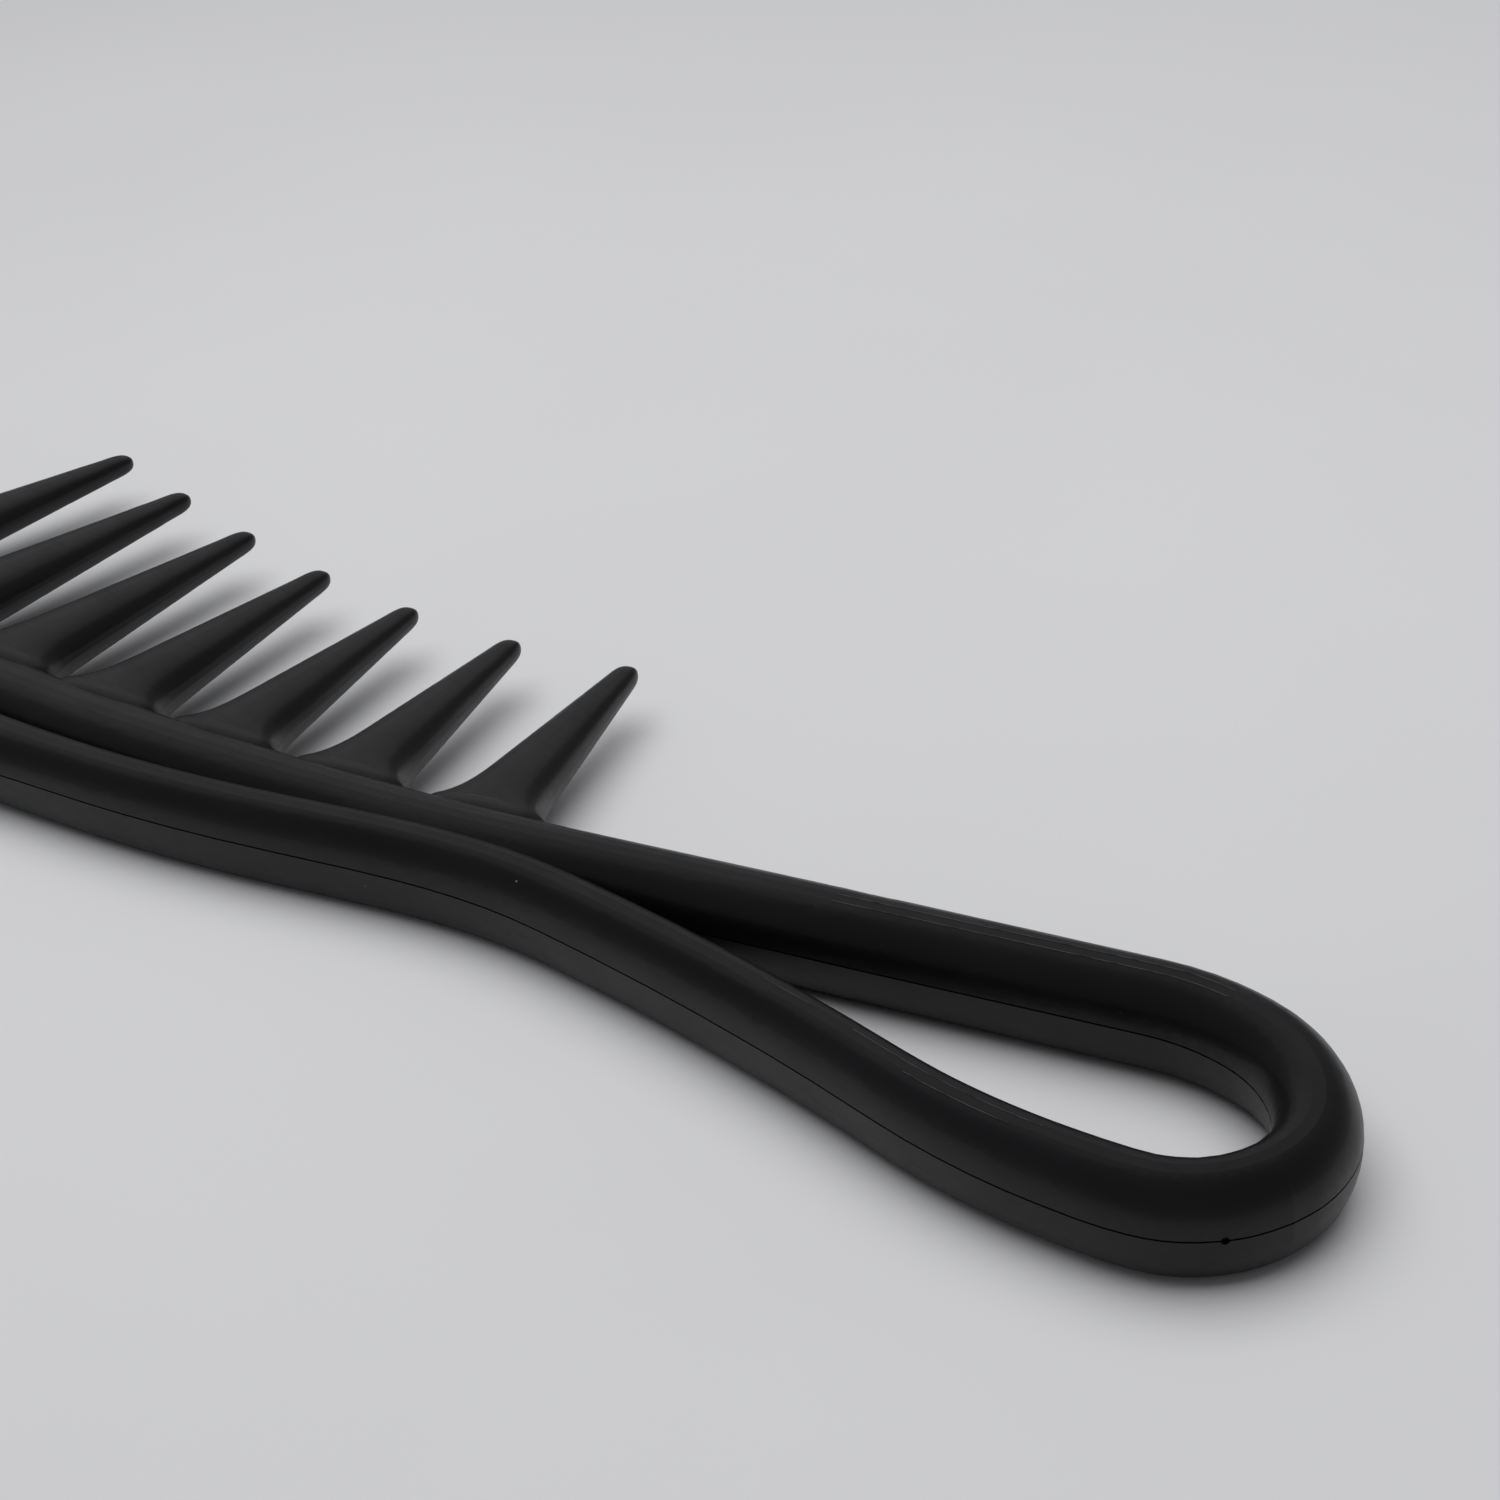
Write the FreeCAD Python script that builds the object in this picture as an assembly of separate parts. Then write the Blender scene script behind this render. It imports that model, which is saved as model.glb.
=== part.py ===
"""Wide tooth comb with a looped handle: two hollow half shells that hold one strip of solid teeth.

The comb lies flat, +Z up, with the handle loop at +X and the teeth pointing to +Y. Its frame is one
closed rail: along the roots of the teeth, out to the handle loop, back past the neck where both
strands touch, and along the back to the nose. The teeth point at one fan centre.
"""
import FreeCAD, Part
import math
import os
from FreeCAD import Vector

# Fan of teeth, polar about the fan centre (mm and degrees)
TOOTH_COUNT = 7
TOOTH_PITCH_DEG = 3.57
FIRST_TOOTH_DEG = 295.13
TIP_RADIUS_MIN = 178.9      # fan centre to the tips of the longest teeth
TIP_RADIUS_RISE = 9.0       # how much farther the tip of the first tooth is
LONGEST_TOOTH = 7.5         # counted from the handle, first tooth is 0
TIP_HALF_WIDTH = 1.0
TIP_HALF_THICK = 0.8
TOOTH_FLANK_DEG = 6.2       # slope of each flank, seen from above
TOOTH_SQUARENESS = 0.74     # 0.55 makes the section of a tooth an ellipse, larger flattens its faces
ROOT_HALF_THICK = 2.45
ROOT_FLARE = 1.9            # extra half width where a tooth runs into the rail
ROOT_FLARE_LENGTH = 4.5
TIP_CAP = (0.08, 0.35, 0.75)            # sections of the rounded tip, as parts of its half width
TOOTH_SECTIONS = 9
TANG_STEPS = ((0.0, 1.0, 1.0), (2.3, 1.0, 1.0), (3.2, 0.85, 0.52))  # run, width and thickness parts

# Ridge line of the frame (mm and degrees)
RAIL_RADIUS = 215.6         # tooth rail, about the fan centre
RAIL_END_DEG = 284.7        # where the tooth rail leaves its arc for the handle
ARM_LEGS = [(51.2, 9.1), (45.5, 0.0)]   # (length, turn): easing into the straight arm, then the arm
LOOP_LEGS_FAR = [(8.5, -25.7), (9.4, -42.0), (8.4, -56.6)]
LOOP_LEGS_NEAR = [(9.0, -59.1), (20.0, -19.2), (34.4, 7.6)]
NECK_POINTS = [(91.6, -200.0), (78.5, -205.9), (65.7, -211.1)]
BACK_POINTS_POLAR = [(221.4, 284.0), (222.9, 277.0)]
NOSE_DEG = 269.8
NOSE_TURN_RADIUS = 4.55
NOSE_JOIN_X = 30.0         # the frame is built in three runs that meet here
LOOP_JOIN_X = 124.0         # and here

# Section of the frame (mm)
SEAM_Z = 4.5                # both shells meet at this height
UNDERSIDE_DEPTH = 4.55      # seam to the rounded underside, which is cut flat at z = 0
TOP_RISE_HANDLE = 3.6       # seam to the ridge, at the handle
TOP_RISE_BODY = 2.8         # and along the toothed body
RISE_X = (30.0, 155.0)      # where the ridge starts and ends its rise towards the handle
LAND_HALF = 0.45            # narrow flat land along the ridge and the underside
LAND_PART = 0.3             # and at most this part of the inner half width
ROUNDNESS = 0.57            # 0.55 is an ellipse, larger is squarer
WALL = 1.2
STEP = 4.0                  # spacing of the sections along the frame
TURN_STEP = 1.75            # and round the tight turns
TIGHT_TURN = 1.5            # degrees per mm above which a turn is a tight one

# Half widths (inner, outer) of the frame at its stations, ridge to side
TOOTH_RAIL_WIDTH = (3.4, 3.9)
ARM_WIDTH = (3.4, 3.4)
LOOP_WIDTH = (3.0, 3.0)
NEAR_ARM_WIDTH = (2.5, 2.6)
BACK_WIDTH = (2.6, 5.2)
NOSE_WIDTH = (3.2, 4.4)

# Fine groove where the shells meet, and the gate notch in it at the end of the loop (mm)
GROOVE_DEPTH = 0.15
GROOVE_HALF_WIDTH = 0.07
NOTCH_X = 162.0
NOTCH_RADIUS = 0.3
NOTCH_DEPTH = 0.35

# Locating pins and the bar inside the tooth rail
PIN_RADIUS = 0.8
SOCKET_CLEARANCE = 0.05
BOSS_RADIUS = 1.7
PIN_REACH = 2.4             # how far a pin passes below the seam
PIN_ROOT = 2.0              # how far it starts above the seam
SOCKET_SPARE = 0.3          # how much deeper its socket is
POST_REACH = 6.0            # seam to beyond either outside face of the frame
BAR_HALF_WIDTH = 1.5
BAR_HALF_THICK = 1.05
BAR_FLOAT = 0.1             # gap between the bar and the bosses above and below it
BAR_MARGIN_DEG = 1.2        # how far the bar runs past the outer teeth
RAIL_PIN_GAPS = (1, 4)           # tooth gaps behind which a pin stands in the tooth rail
ARM_PIN_X = (106.0, 130.0)
BACK_PIN_X = (126.0, 92.0, 50.0, 15.0)


def polar(radius, degrees):
    """Point at a radius and angle about the fan centre."""
    angle = math.radians(degrees)
    return (radius * math.cos(angle), radius * math.sin(angle))


def walk(start, legs):
    """Stations (x, y, heading) along legs of (length, turn), each one an arc or a straight run."""
    stations = []
    x, y, heading = start
    for length, turn in legs:
        step = TURN_STEP if abs(turn) > TIGHT_TURN * length else STEP
        count = max(1, round(length / step))
        for _ in range(count):
            middle = math.radians(heading + turn / count / 2)
            x += length / count * math.cos(middle)
            y += length / count * math.sin(middle)
            heading += turn / count
            stations.append((x, y, heading))
    return stations


def along_spline(start, points, end):
    """Stations along a smooth curve between two stations, through the points given."""
    poles = [Vector(start[0], start[1], 0)]
    poles += [Vector(x, y, 0) for x, y in points]
    poles += [Vector(end[0], end[1], 0)]
    first, last = [Vector(math.cos(math.radians(h)), math.sin(math.radians(h)), 0)
                   for h in (start[2], end[2])]
    curve = Part.BSplineCurve()
    curve.interpolate(Points=poles, InitialTangent=first, FinalTangent=last)
    count = round(curve.length() / STEP)
    stations = []
    for k in range(1, count):
        u = curve.parameterAtDistance(curve.length() * k / count, curve.FirstParameter)
        place = curve.value(u)
        tangent = curve.tangent(u)[0]
        heading = math.degrees(math.atan2(tangent.y, tangent.x))
        stations.append((place.x, place.y, heading))
    return stations


def nose_apex():
    """Station at the very end of the nose, heading round the turn."""
    middle = polar(RAIL_RADIUS + NOSE_TURN_RADIUS, NOSE_DEG)
    ahead = math.radians(NOSE_DEG - 90)
    x = middle[0] + NOSE_TURN_RADIUS * math.cos(ahead)
    y = middle[1] + NOSE_TURN_RADIUS * math.sin(ahead)
    return (x, y, NOSE_DEG - 180)


def far_strand():
    """Ridge stations from the nose, along the teeth and out to the loop's end."""
    quarter = NOSE_TURN_RADIUS * math.pi / 2
    sweep = RAIL_END_DEG - NOSE_DEG
    rail_leg = (RAIL_RADIUS * math.radians(sweep), sweep)
    apex = nose_apex()
    turn = walk(apex, [(quarter, -90.0)])
    x, y = polar(RAIL_RADIUS, NOSE_DEG)
    rail_start = (x, y, NOSE_DEG - 270)
    return [apex] + turn[:-1] + [rail_start] + walk(rail_start, [rail_leg] + ARM_LEGS + LOOP_LEGS_FAR)


def near_strand(loop_end):
    """Ridge stations from the loop's end, past the neck and along the back to the nose."""
    loop = walk(loop_end, LOOP_LEGS_NEAR)
    x, y = polar(RAIL_RADIUS + 2 * NOSE_TURN_RADIUS, NOSE_DEG)
    back_end = (x, y, NOSE_DEG - 90)
    points = NECK_POINTS + [polar(radius, angle) for radius, angle in BACK_POINTS_POLAR]
    spline = along_spline(loop[-1], points, back_end)
    quarter = NOSE_TURN_RADIUS * math.pi / 2
    return [loop_end] + loop + spline + [back_end] + walk(back_end, [(quarter, -90.0)])


def nearest(stations, x):
    """(x, y) of the station nearest a place along X."""
    return min(stations, key=lambda station: abs(station[0] - x))[:2]


def fan_angle(station):
    """Angle of a station about the fan centre, in degrees from 0 to 360."""
    return math.degrees(math.atan2(station[1], station[0])) % 360


def rail_point(stations, degrees):
    """Distance of the tooth rail's ridge from the fan centre, at an angle about it."""
    for one, other in zip(stations, stations[1:]):
        low, high = fan_angle(one), fan_angle(other)
        if low <= degrees <= high and high - low < 90:
            part = (degrees - low) / (high - low)
            near_end, far_end = math.hypot(*one[:2]), math.hypot(*other[:2])
            return near_end + (far_end - near_end) * part
    return RAIL_RADIUS


def ease(values, positions, here):
    """Value at a position, easing smoothly from one key value to the next."""
    if here <= positions[0]:
        return values[0]
    for k in range(1, len(positions)):
        if here < positions[k]:
            part = (here - positions[k - 1]) / (positions[k] - positions[k - 1])
            part = part * part * (3 - 2 * part)
            return values[k - 1] + (values[k] - values[k - 1]) * part
    return values[-1]


def section_sizes(stations, strand):
    """(inner, outer, top rise) of the frame at every station of a strand."""
    if strand == "far":
        keys = [-12.0, 5.0, 50.0, 115.0, 160.0]
        widths = [NOSE_WIDTH, TOOTH_RAIL_WIDTH, TOOTH_RAIL_WIDTH, ARM_WIDTH, LOOP_WIDTH]
    else:
        keys = [-12.0, 12.0, 20.0, 62.0, 135.0, 160.0]
        widths = [NOSE_WIDTH, BACK_WIDTH, BACK_WIDTH, NEAR_ARM_WIDTH, NEAR_ARM_WIDTH, LOOP_WIDTH]
    sizes = []
    for x, _, _ in stations:
        inner = ease([w[0] for w in widths], keys, x)
        outer = ease([w[1] for w in widths], keys, x)
        sizes.append((inner, outer, ease((TOP_RISE_BODY, TOP_RISE_HANDLE), RISE_X, x)))
    return sizes


def section_wire(station, inner, outer, top, bottom):
    """Closed section across the frame: four rounded flanks and the two narrow lands."""
    x, y, heading = station
    across = Vector(-math.sin(math.radians(heading)), math.cos(math.radians(heading)), 0)
    middle = Vector(x, y, SEAM_Z)
    land = min(LAND_HALF, LAND_PART * inner)
    edges = []
    for side, width, heights in ((1, outer, (-bottom, top)), (-1, inner, (top, -bottom))):
        reach = width - land
        for height, rising in zip(heights, (False, True)):
            flank = [(side * width, 0), (side * width, ROUNDNESS * height),
                     (side * (land + ROUNDNESS * reach), height), (side * land, height)]
            if not rising:
                flank.reverse()
            curve = Part.BezierCurve()
            curve.setPoles([middle + across * q + Vector(0, 0, z) for q, z in flank])
            edges.append(curve.toShape())
        height = heights[1]
        edges.append(Part.makeLine(middle + across * (side * land) + Vector(0, 0, height),
                                   middle - across * (side * land) + Vector(0, 0, height)))
    return Part.Wire(edges)


def strand(stations, sizes, wall=0.0):
    """Solid of one strand of the frame, thinner all round by the wall."""
    wires = []
    for station, (inner, outer, top) in zip(stations, sizes):
        wires.append(section_wire(station, inner - wall, outer - wall, top - wall,
                                  UNDERSIDE_DEPTH - wall))
    return Part.makeLoft(wires, True, False)


def split_at(stations, sizes, x):
    """A strand cut in two at the station next to a place along X."""
    for k in range(1, len(stations) - 2):
        if (stations[k][0] - x) * (stations[k + 1][0] - x) <= 0:
            break
    return (stations[:k + 1], sizes[:k + 1]), (stations[k:], sizes[k:])


def joined_strands(strands, wall=0.0):
    """Both strands as one solid, joined first at the neck, then at the loop and at the nose."""
    (far, far_sizes), (near, near_sizes) = strands
    far_nose, rest = split_at(far, far_sizes, NOSE_JOIN_X)
    far_body, far_loop = split_at(rest[0], rest[1], LOOP_JOIN_X)
    near_loop, rest = split_at(near, near_sizes, LOOP_JOIN_X)
    near_body, near_nose = split_at(rest[0], rest[1], NOSE_JOIN_X)
    runs = []
    for one, other in ((far_body, near_body), (far_loop, near_loop), (far_nose, near_nose)):
        runs.append(strand(one[0], one[1], wall).fuse(strand(other[0], other[1], wall)))
    return runs[0].fuse(runs[1]).fuse(runs[2])


def slab(bottom, top):
    """Level slab between two heights, wide enough for the whole comb."""
    reach = 2 * RAIL_RADIUS
    return Part.makeBox(2 * reach, 2 * reach, top - bottom, Vector(-reach, -reach, bottom))


def seam_groove(strands):
    """Thin slab at the seam, all but the core of the frame that the groove leaves."""
    return slab(SEAM_Z - GROOVE_HALF_WIDTH, SEAM_Z + GROOVE_HALF_WIDTH).cut(
        joined_strands(strands, GROOVE_DEPTH))


def gate_notch(stations, sizes):
    """Small round notch across the groove, on the outside of the loop's end."""
    station, size = min(zip(stations, sizes), key=lambda pair: abs(pair[0][0] - NOTCH_X))
    outward = math.radians(station[2] + 90)
    reach = size[1] - NOTCH_DEPTH
    start = Vector(station[0] + reach * math.cos(outward), station[1] + reach * math.sin(outward), SEAM_Z)
    direction = Vector(math.cos(outward), math.sin(outward), 0)
    return Part.makeCylinder(NOTCH_RADIUS, 2 * NOTCH_DEPTH, start, direction)


def tooth_places():
    """(angle, tip radius) of every tooth, from the handle to the nose."""
    places = []
    for k in range(TOOTH_COUNT):
        swing = math.cos(math.pi * k / LONGEST_TOOTH)
        places.append((FIRST_TOOTH_DEG - TOOTH_PITCH_DEG * k,
                       TIP_RADIUS_MIN + TIP_RADIUS_RISE * (1 + swing) / 2))
    return places


def oval(radius, degrees, half_width, half_thick):
    """Closed oval section of a tooth, square to its length."""
    x, y = polar(radius, degrees)
    middle = Vector(x, y, SEAM_Z)
    angle = math.radians(degrees)
    across = Vector(-math.sin(angle), math.cos(angle), 0)
    up = Vector(0, 0, 1)
    edges = []
    corners = [(across, half_width), (up, half_thick), (across, -half_width), (up, -half_thick)]
    for k in range(4):
        a_dir, a_len = corners[k]
        b_dir, b_len = corners[(k + 1) % 4]
        start = a_dir * a_len
        end = b_dir * b_len
        quarter = Part.BezierCurve()
        quarter.setPoles([middle + start, middle + start + end * TOOTH_SQUARENESS,
                          middle + end + start * TOOTH_SQUARENESS, middle + end])
        edges.append(quarter.toShape())
    return Part.Wire(edges)


def tooth(degrees, tip_radius, ridge_radius):
    """One solid tooth, from its rounded tip to its root inside the tooth rail."""
    edge = ridge_radius - TOOTH_RAIL_WIDTH[1]
    length = edge - tip_radius
    slope = math.tan(math.radians(TOOTH_FLANK_DEG))
    wires = []
    for part in TIP_CAP:
        bulge = math.sqrt(1 - (1 - part) ** 2)
        wires.append(oval(tip_radius + part * TIP_HALF_WIDTH, degrees,
                          TIP_HALF_WIDTH * bulge, TIP_HALF_THICK * bulge))
    for k in range(1, TOOTH_SECTIONS + 1):
        run = length * k / TOOTH_SECTIONS
        flare = max(0.0, (run - length + ROOT_FLARE_LENGTH) / ROOT_FLARE_LENGTH)
        half_width = TIP_HALF_WIDTH + slope * run + ROOT_FLARE * flare ** 2
        half_thick = TIP_HALF_THICK + (ROOT_HALF_THICK - TIP_HALF_THICK) * run / length
        wires.append(oval(tip_radius + run, degrees, half_width, half_thick))
    tine = Part.makeLoft(wires, True, False)
    wide = TIP_HALF_WIDTH + slope * length + ROOT_FLARE
    sections = [oval(edge + run, degrees, wide * across, ROOT_HALF_THICK * up)
                for run, across, up in TANG_STEPS]
    return tine.fuse(Part.makeLoft(sections, True, False))


def bar(stations):
    """Root bar that joins the teeth, along the ridge inside the tooth rail."""
    first = FIRST_TOOTH_DEG + BAR_MARGIN_DEG
    last = FIRST_TOOTH_DEG - TOOTH_PITCH_DEG * (TOOTH_COUNT - 1) - BAR_MARGIN_DEG
    corners = [(1, 1), (-1, 1), (-1, -1), (1, -1), (1, 1)]
    wires = []
    for station in stations:
        if last < fan_angle(station) < first:
            across = math.radians(station[2] + 90)
            outline = [Vector(station[0] + side * BAR_HALF_WIDTH * math.cos(across),
                              station[1] + side * BAR_HALF_WIDTH * math.sin(across),
                              SEAM_Z + level * BAR_HALF_THICK) for side, level in corners]
            wires.append(Part.makePolygon(outline))
    return Part.makeLoft(wires, True, False)


def pin_places(far, near):
    """Places of the locating pins: behind tooth gaps along the rail, then in the arms and the back."""
    rail = []
    for gap in RAIL_PIN_GAPS:
        degrees = FIRST_TOOTH_DEG - TOOTH_PITCH_DEG * (gap - 0.5)
        rail.append(polar(rail_point(far, degrees), degrees))
    return rail, [nearest(far, x) for x in ARM_PIN_X] + [nearest(near, x) for x in BACK_PIN_X]


def post(place, radius, bottom, top):
    """Upright round post between two heights."""
    return Part.makeCylinder(radius, top - bottom, Vector(place[0], place[1], bottom))


def build():
    """All named pieces, in the fan centre's own coordinates."""
    far = far_strand()
    near = near_strand(far[-1])
    far_sizes = section_sizes(far, "far")
    near_sizes = section_sizes(near, "near")
    teeth = [tooth(angle, tip, rail_point(far, angle)) for angle, tip in tooth_places()]
    strip = bar(far).fuse(teeth)
    rail_pins, other_pins = pin_places(far, near)
    socket = PIN_RADIUS + SOCKET_CLEARANCE
    for place in rail_pins:
        strip = strip.cut(post(place, socket, SEAM_Z - POST_REACH, SEAM_Z + POST_REACH))

    strands = [(far, far_sizes), (near, near_sizes)]
    frame = joined_strands(strands)
    grooved = frame.cut(seam_groove(strands)).cut(gate_notch(near, near_sizes))
    hollow_frame = grooved.cut(joined_strands(strands, WALL))

    shells = {}
    for name, side in (("upper_shell", 1), ("lower_shell", -1)):
        half_space = slab(SEAM_Z, SEAM_Z + TOP_RISE_HANDLE + 1) if side > 0 else slab(0, SEAM_Z)
        shell = hollow_frame.common(half_space)
        posts = []
        for places, gap in ((rail_pins, BAR_HALF_THICK + BAR_FLOAT), (other_pins, 0.0)):
            for place in places:
                low, high = sorted((SEAM_Z + side * gap, SEAM_Z + side * POST_REACH))
                posts.append(post(place, BOSS_RADIUS, low, high).common(frame).common(half_space))
        shell = shell.fuse(posts)
        if side > 0:
            pins = [post(p, PIN_RADIUS, SEAM_Z - PIN_REACH, SEAM_Z + PIN_ROOT)
                    for p in rail_pins + other_pins]
            shell = shell.fuse(pins)
        else:
            holes = [post(p, socket, SEAM_Z - PIN_REACH - SOCKET_SPARE, SEAM_Z + 1)
                     for p in rail_pins + other_pins]
            shell = shell.cut(holes)
        shells[name] = shell.cut(strip).removeSplitter()
    shells["tooth_strip"] = strip.removeSplitter()
    return shells


def main():
    os.makedirs("parts", exist_ok=True)
    pieces = build()
    whole = Part.makeCompound(list(pieces.values())).BoundBox
    to_origin = Vector(-whole.Center.x, -whole.Center.y, 0)
    for name, shape in pieces.items():
        shape.translate(to_origin)
        shape.exportStep(os.path.join("parts", name + ".step"))
        print(name, "solids", len(shape.Solids), "valid", shape.isValid(),
              "volume", round(shape.Volume, 1))
    print("length", round(whole.XLength, 2), "width", round(whole.YLength, 2), "origin", to_origin)


main()
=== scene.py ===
"""Looks of the wide tooth comb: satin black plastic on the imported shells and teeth, lying on a pale table.

The comb lies flat in the row frame, handle loop at +X, teeth towards +Y. The camera stands beyond the
loop and looks down along the comb. A large soft light hangs overhead and lights only what is matt; a
second one, far to the side, is seen only as a sheen on the plastic.
"""
import math

import bpy
from mathutils import Matrix, Vector


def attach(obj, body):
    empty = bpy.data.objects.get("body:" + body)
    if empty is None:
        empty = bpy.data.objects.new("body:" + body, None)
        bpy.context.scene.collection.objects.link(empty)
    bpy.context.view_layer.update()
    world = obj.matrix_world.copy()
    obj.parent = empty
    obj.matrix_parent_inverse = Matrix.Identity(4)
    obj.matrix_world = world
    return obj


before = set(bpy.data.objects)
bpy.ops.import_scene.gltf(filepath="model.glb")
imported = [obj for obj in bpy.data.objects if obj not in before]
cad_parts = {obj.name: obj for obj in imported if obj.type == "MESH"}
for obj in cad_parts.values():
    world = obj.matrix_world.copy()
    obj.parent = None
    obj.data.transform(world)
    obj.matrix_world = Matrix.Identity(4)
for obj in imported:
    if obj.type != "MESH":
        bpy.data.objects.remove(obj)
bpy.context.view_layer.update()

MM = 0.001
SEAM_Z = 4.5 * MM           # where the two shells meet
TABLE_GAP = 0.03 * MM       # the table top is this far under the comb

# Camera
CAMERA_PLACE = Vector((0.19455, -0.10526, 0.13937))
CAMERA_RIGHT = Vector((0.63441, 0.77009, -0.06695))
CAMERA_FORWARD = Vector((-0.68026, 0.51507, -0.52148))
LENS = 76.8
SENSOR = 36.0

# Plastic
SHELL_BLACK = (0.0035, 0.0035, 0.0042)
SHELL_ROUGHNESS = 0.42
TOOTH_BLACK = (0.0035, 0.0035, 0.004)
TOOTH_ROUGHNESS = 0.40

# Places on the comb
KNIT_LINE = Vector((0.0846, 0.0114, 0.0))      # faint line across the loop's near side
KNIT_ALONG = Vector((0.82, 0.57, 0.0))         # the way the loop runs there

# Ridge of the handle: height of its flat land, rising from one place along X to another
RIDGE_HEIGHTS = (7.3 * MM, 8.1 * MM)
RIDGE_RISE_X = (-48.4 * MM, 76.6 * MM)
LAND_HALF = 0.45 * MM
# Radius and point spacing of the raised hairlines that carry a painted highlight glint
GLINT_LINE_RADIUS = 0.04 * MM
GLINT_LINE_STEP = 1.5 * MM
# Raised hair-thin lines on the edges of that land, coloured as a painted highlight glint: start, heading,
# legs of (length, turn), edges
GLINT_LINE_RUNS = (
    ((43.5 * MM, 15.8 * MM), 23.8, ((24.8 * MM, 0.0), (6.0 * MM, -18.0)), (1, -1)),
    ((73.5 * MM, 7.5 * MM), -166.1, ((13.2 * MM, -12.7), (3.8 * MM, 0.8)), (-1,)),
    ((71.5 * MM, 7.0 * MM), -168.1, ((9.0 * MM, -8.6),), (1,)),
    ((52.8 * MM, 5.5 * MM), -177.1, ((5.2 * MM, 1.1),), (-1,)),
)


def node(tree, kind, **inputs):
    """A shader node with its inputs set: a number or colour is a value, a socket is a link."""
    made = tree.nodes.new(kind)
    for name, value in inputs.items():
        if name.startswith("_"):
            setattr(made, name[1:], value)
            continue
        by_number = name[0] == "i" and name[1:].isdigit()
        socket = made.inputs[int(name[1:]) if by_number else name]
        if isinstance(value, bpy.types.NodeSocket):
            tree.links.new(value, socket)
        else:
            socket.default_value = value
    return made


def maths(tree, operation, first, second=0.0, third=0.0):
    """Output of one Math node."""
    return node(tree, "ShaderNodeMath", _operation=operation, i0=first, i1=second, i2=third).outputs[0]


def noise(tree, where, scale, detail=3.0, roughness=0.5, stretch=(1.0, 1.0, 1.0)):
    """Noise value at a scale per metre, in the comb's own coordinates."""
    mapped = node(tree, "ShaderNodeMapping", Vector=where, Scale=stretch).outputs[0]
    return node(tree, "ShaderNodeTexNoise", Vector=mapped, Scale=scale, Detail=detail,
                Roughness=roughness).outputs["Fac"]


def ramp(tree, value, low, high, from_value=0.0, to_value=1.0):
    """A value eased from one range to another."""
    made = node(tree, "ShaderNodeMapRange", _interpolation_type="SMOOTHSTEP", Value=value)
    made.inputs["From Min"].default_value = low
    made.inputs["From Max"].default_value = high
    made.inputs["To Min"].default_value = from_value
    made.inputs["To Max"].default_value = to_value
    return made.outputs["Result"]


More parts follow.
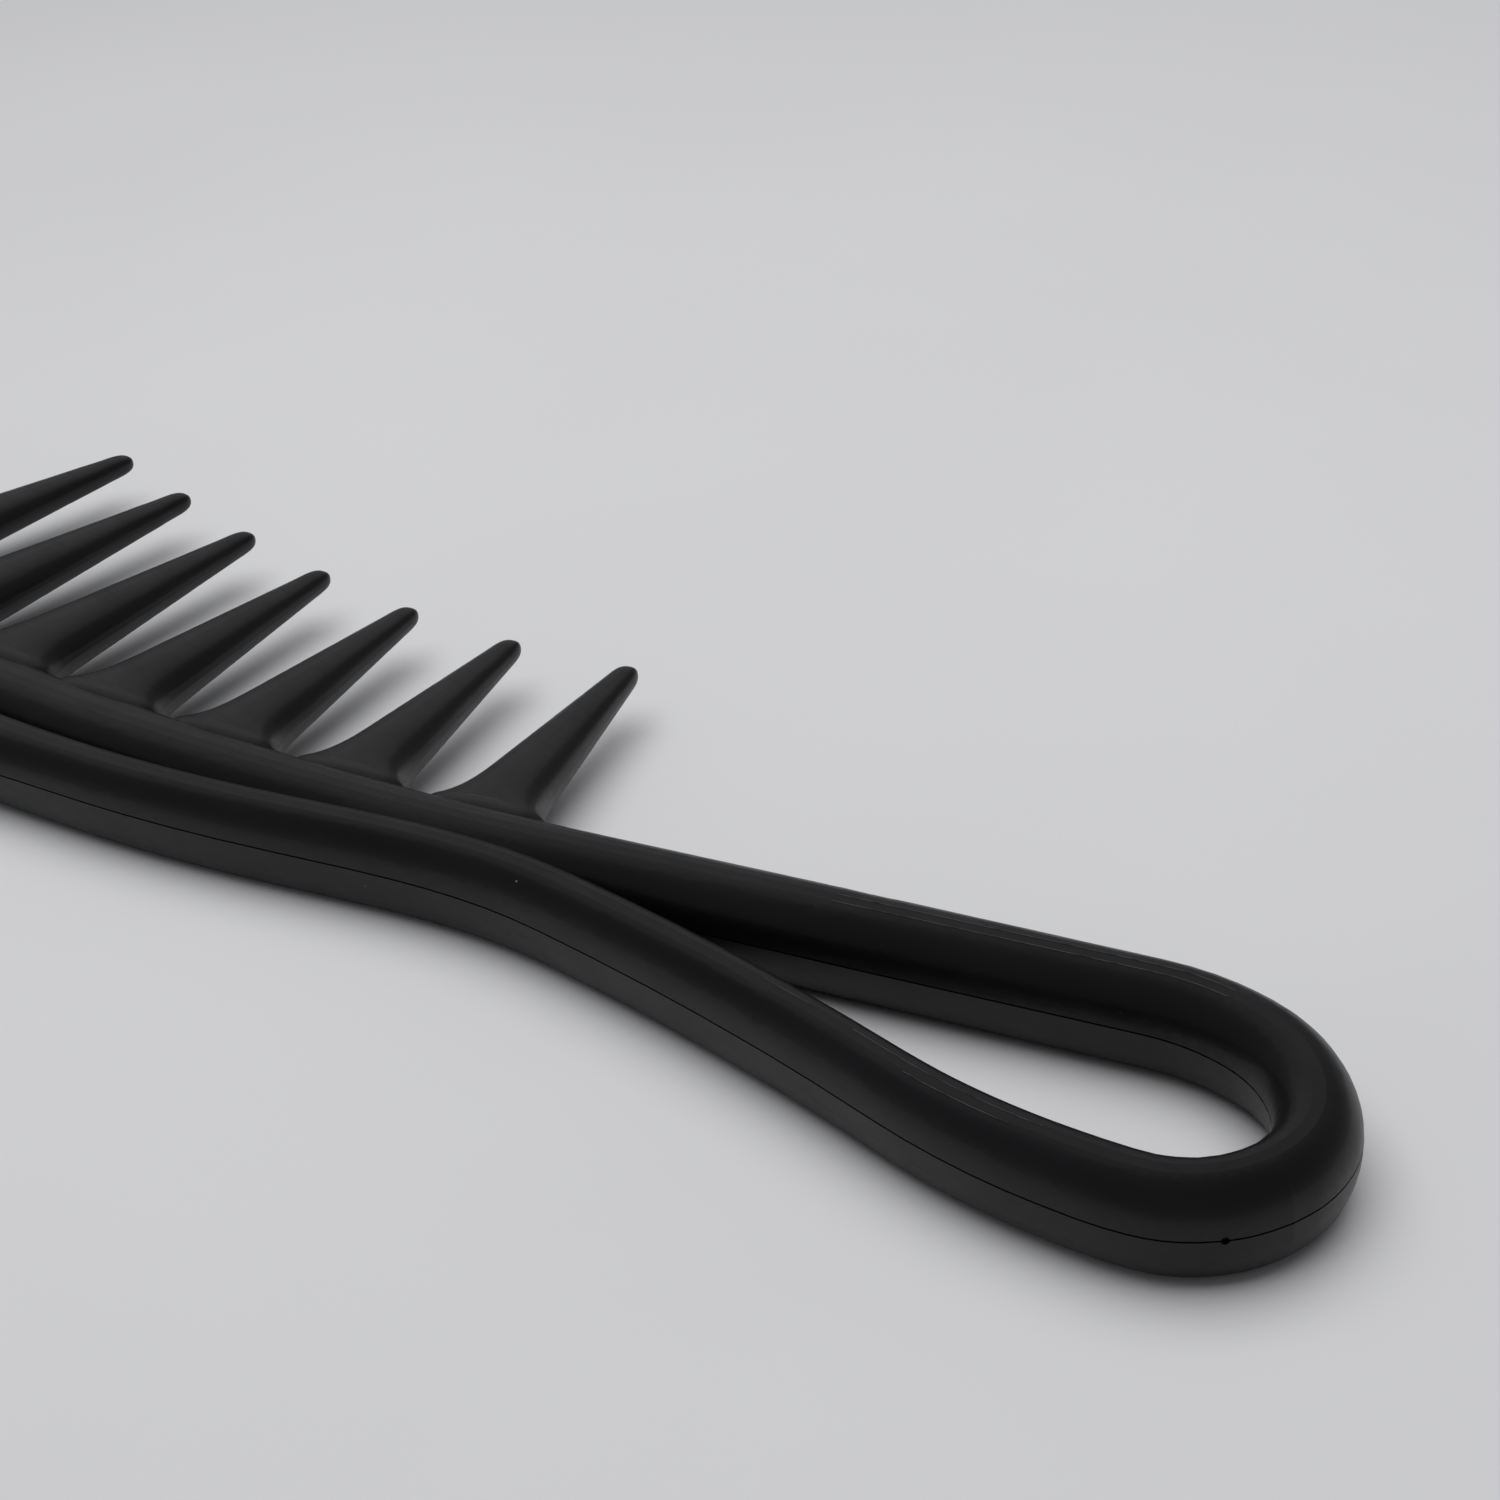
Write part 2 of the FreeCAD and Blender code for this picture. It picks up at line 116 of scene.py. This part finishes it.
def moulded_plastic(name, base, roughness, moulded_marks):
    """Satin black moulded plastic: fine grain, faint flow shades, rubbed patches, specks of dust."""
    material = bpy.data.materials.new(name)
    material.use_nodes = True
    tree = material.node_tree
    shader = tree.nodes["Principled BSDF"]
    where = node(tree, "ShaderNodeTexCoord").outputs["Object"]
    height = node(tree, "ShaderNodeSeparateXYZ", Vector=where).outputs["Z"]

    flow = noise(tree, where, 60.0, 4.0, 0.55, (0.5, 1.6, 1.6))
    rubbed = noise(tree, where, 210.0, 5.0, 0.6)
    grain = noise(tree, where, 5200.0, 2.0, 0.5)
    orange_peel = noise(tree, where, 900.0, 2.0, 0.45)
    scratch = noise(tree, where, 2600.0, 1.0, 0.4, (0.04, 1.0, 1.0))

    dust_cells = node(tree, "ShaderNodeTexVoronoi", Vector=where, Scale=260.0, Randomness=1.0)
    dust_where = noise(tree, where, 95.0, 2.0, 0.5)
    dust = maths(tree, "MULTIPLY", ramp(tree, dust_cells.outputs["Distance"], 0.035, 0.015),
                 ramp(tree, dust_where, 0.6, 0.66))

    dark = tuple(0.8 * c for c in base) + (1.0,)
    light = tuple(1.25 * c for c in base) + (1.0,)
    shade = node(tree, "ShaderNodeMix", _data_type="RGBA", Factor=ramp(tree, flow, 0.35, 0.65))
    shade.inputs["A"].default_value = dark
    shade.inputs["B"].default_value = light
    colour = shade.outputs["Result"]
    dusty = node(tree, "ShaderNodeMix", _data_type="RGBA", Factor=dust)
    tree.links.new(colour, dusty.inputs[6])
    dusty.inputs[7].default_value = (0.25, 0.24, 0.23, 1.0)
    colour = dusty.outputs[2]

    rough = ramp(tree, rubbed, 0.3, 0.7, roughness - 0.035, roughness + 0.035)
    rough = maths(tree, "ADD", rough, ramp(tree, scratch, 0.62, 0.72, 0.0, 0.05))

    relief = maths(tree, "MULTIPLY_ADD", grain, 0.35, maths(tree, "MULTIPLY", orange_peel, 0.65))
    relief = maths(tree, "MULTIPLY_ADD", ramp(tree, scratch, 0.66, 0.74), -0.25, relief)

    if moulded_marks:
        away = node(tree, "ShaderNodeVectorMath", _operation="SUBTRACT", i0=where)
        away.inputs[1].default_value = KNIT_LINE
        along = node(tree, "ShaderNodeVectorMath", _operation="DOT_PRODUCT", i0=away.outputs[0])
        along.inputs[1].default_value = KNIT_ALONG
        side = maths(tree, "ABSOLUTE", along.outputs["Value"])
        knit = ramp(tree, side, 0.00022, 0.00004)
        reach = node(tree, "ShaderNodeVectorMath", _operation="LENGTH", i0=away.outputs[0])
        knit = maths(tree, "MULTIPLY", knit, ramp(tree, reach.outputs["Value"], 0.009, 0.006))
        knit = maths(tree, "MULTIPLY", knit, maths(tree, "GREATER_THAN", height, SEAM_Z))
        relief = maths(tree, "MULTIPLY_ADD", knit, 0.6, relief)
        rough = maths(tree, "MULTIPLY_ADD", knit, 0.06, rough)

    tree.links.new(colour, shader.inputs["Base Color"])
    tree.links.new(rough, shader.inputs["Roughness"])
    bump = node(tree, "ShaderNodeBump", Height=relief, Strength=0.22, Distance=0.00003)
    tree.links.new(bump.outputs["Normal"], shader.inputs["Normal"])
    shader.inputs["IOR"].default_value = 1.46
    tree.links.new(bump.outputs["Normal"], shader.inputs["Coat Normal"])
    shader.inputs["Coat Weight"].default_value = 0.15
    shader.inputs["Coat Roughness"].default_value = 0.09
    shader.inputs["Coat IOR"].default_value = 1.4
    shader.inputs["Specular IOR Level"].default_value = 0.30
    return material


def table_material():
    """Pale matt card: faint mottling and a few stray fibres."""
    material = bpy.data.materials.new("table_card")
    material.use_nodes = True
    tree = material.node_tree
    shader = tree.nodes["Principled BSDF"]
    where = node(tree, "ShaderNodeTexCoord").outputs["Object"]
    mottle = noise(tree, where, 9.0, 4.0, 0.55)
    tooth = noise(tree, where, 2200.0, 3.0, 0.6)
    shade = node(tree, "ShaderNodeMix", _data_type="RGBA", Factor=ramp(tree, mottle, 0.3, 0.7))
    shade.inputs["A"].default_value = (0.70, 0.70, 0.715, 1.0)
    shade.inputs["B"].default_value = (0.72, 0.72, 0.735, 1.0)
    tree.links.new(shade.outputs["Result"], shader.inputs["Base Color"])
    bump = node(tree, "ShaderNodeBump", Height=tooth, Strength=0.1, Distance=0.00004)
    tree.links.new(bump.outputs["Normal"], shader.inputs["Normal"])
    shader.inputs["Roughness"].default_value = 0.75
    return material


def glint_line_material():
    """Hairline on the ridge land: near-black broken by dashes of dull tan here and there, a painted
    highlight glint.
    """
    material = bpy.data.materials.new("painted_glint_line")
    material.use_nodes = True
    tree = material.node_tree
    shader = tree.nodes["Principled BSDF"]
    where = node(tree, "ShaderNodeTexCoord").outputs["Object"]
    glint_breaks = noise(tree, where, 700.0, 3.0, 0.6)
    shade = node(tree, "ShaderNodeMix", _data_type="RGBA", Factor=ramp(tree, glint_breaks, 0.32, 0.58))
    shade.inputs["A"].default_value = (0.012, 0.012, 0.013, 1.0)
    # the dull tan is a painted highlight glint
    shade.inputs["B"].default_value = (0.062, 0.057, 0.052, 1.0)
    tree.links.new(shade.outputs["Result"], shader.inputs["Base Color"])
    tree.links.new(ramp(tree, glint_breaks, 0.3, 0.7, 0.3, 0.5), shader.inputs["Roughness"])
    return material


def ridge_height(x):
    """Height of the ridge's flat land at a place along X."""
    part = min(1.0, max(0.0, (x - RIDGE_RISE_X[0]) / (RIDGE_RISE_X[1] - RIDGE_RISE_X[0])))
    return RIDGE_HEIGHTS[0] + (RIDGE_HEIGHTS[1] - RIDGE_HEIGHTS[0]) * part * part * (3 - 2 * part)


def painted_glint_lines():
    """Hair-thin raised lines along the edges of the land on the handle's ridges, coloured as a painted
    highlight glint.
    """
    data = bpy.data.curves.new("painted_glint_lines", "CURVE")
    data.dimensions = "3D"
    data.bevel_depth = GLINT_LINE_RADIUS
    data.bevel_resolution = 1
    data.use_fill_caps = True
    for start, heading, legs, edges in GLINT_LINE_RUNS:
        for edge in edges:
            x, y = start
            facing = heading
            places = [(x, y, facing)]
            for length, turn in legs:
                count = max(1, round(length / GLINT_LINE_STEP))
                for _ in range(count):
                    middle = math.radians(facing + turn / count / 2)
                    x += length / count * math.cos(middle)
                    y += length / count * math.sin(middle)
                    facing += turn / count
                    places.append((x, y, facing))
            spline = data.splines.new("POLY")
            spline.points.add(len(places) - 1)
            for point, (px, py, facing) in zip(spline.points, places):
                across = math.radians(facing + 90)
                point.co = (px + edge * LAND_HALF * math.cos(across),
                            py + edge * LAND_HALF * math.sin(across), ridge_height(px), 1.0)
    lines = bpy.data.objects.new("painted_glint_lines", data)
    # their tan dashes are a painted highlight glint
    data.materials.append(glint_line_material())
    bpy.context.scene.collection.objects.link(lines)
    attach(lines, "root")


def dress(name, material):
    """Gives a CAD node its material."""
    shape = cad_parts[name]
    shape.data.materials.clear()
    shape.data.materials.append(material)


def table():
    """Wide flat table top, just under the comb."""
    half = 4.0
    mesh = bpy.data.meshes.new("table")
    corners = [(-half, -half, 0), (half, -half, 0), (half, half, 0), (-half, half, 0)]
    mesh.from_pydata(corners, [], [(0, 1, 2, 3)])
    top = bpy.data.objects.new("table", mesh)
    top.location.z = -TABLE_GAP
    mesh.materials.append(table_material())
    bpy.context.scene.collection.objects.link(top)


def soft_light(name, place, target, size, power):
    """Rectangular soft light that faces a point."""
    lamp = bpy.data.lights.new(name, "AREA")
    lamp.shape = "RECTANGLE"
    lamp.size, lamp.size_y = size
    lamp.energy = power
    holder = bpy.data.objects.new(name, lamp)
    holder.location = place
    holder.rotation_euler = (Vector(target) - Vector(place)).to_track_quat("-Z", "Y").to_euler()
    bpy.context.scene.collection.objects.link(holder)
    return holder


def camera():
    """Camera beyond the loop, looking down along the comb."""
    data = bpy.data.cameras.new("camera")
    data.lens = LENS
    data.sensor_width = SENSOR
    data.clip_start = 0.01
    data.clip_end = 50.0
    holder = bpy.data.objects.new("camera", data)
    right = CAMERA_RIGHT.normalized()
    back = -CAMERA_FORWARD.normalized()
    up = back.cross(right).normalized()
    axes = Matrix((right, up, back)).transposed().to_4x4()
    holder.matrix_world = Matrix.Translation(CAMERA_PLACE) @ axes
    bpy.context.scene.collection.objects.link(holder)
    bpy.context.scene.camera = holder


def surroundings(strength, colour):
    """Even grey studio round the table."""
    world = bpy.data.worlds.new("studio")
    world.use_nodes = True
    ground = world.node_tree.nodes["Background"]
    ground.inputs["Color"].default_value = (*colour, 1.0)
    ground.inputs["Strength"].default_value = strength
    bpy.context.scene.world = world


def main():
    bpy.context.scene.view_settings.view_transform = "Standard"
    shell = moulded_plastic("shell_satin_black", SHELL_BLACK, SHELL_ROUGHNESS, True)
    teeth = moulded_plastic("tooth_satin_black", TOOTH_BLACK, TOOTH_ROUGHNESS, False)
    dress("upper_shell", shell)
    dress("lower_shell", shell)
    dress("tooth_strip", teeth)
    table()
    camera()
    surroundings(0.20, (0.97, 0.98, 1.0))
    key = soft_light("overhead", (-0.023, 0.050, 0.45), (0.007, 0.030, 0.0),
                     (0.55, 0.55), 2.1)
    key.visible_glossy = False
    sheen = soft_light("far_side", (-0.833, 0.450, 0.80), (0.017, 0.000, 0.0),
                       (1.2, 1.2), 1.1)
    sheen.visible_diffuse = False
    painted_glint_lines()


main()
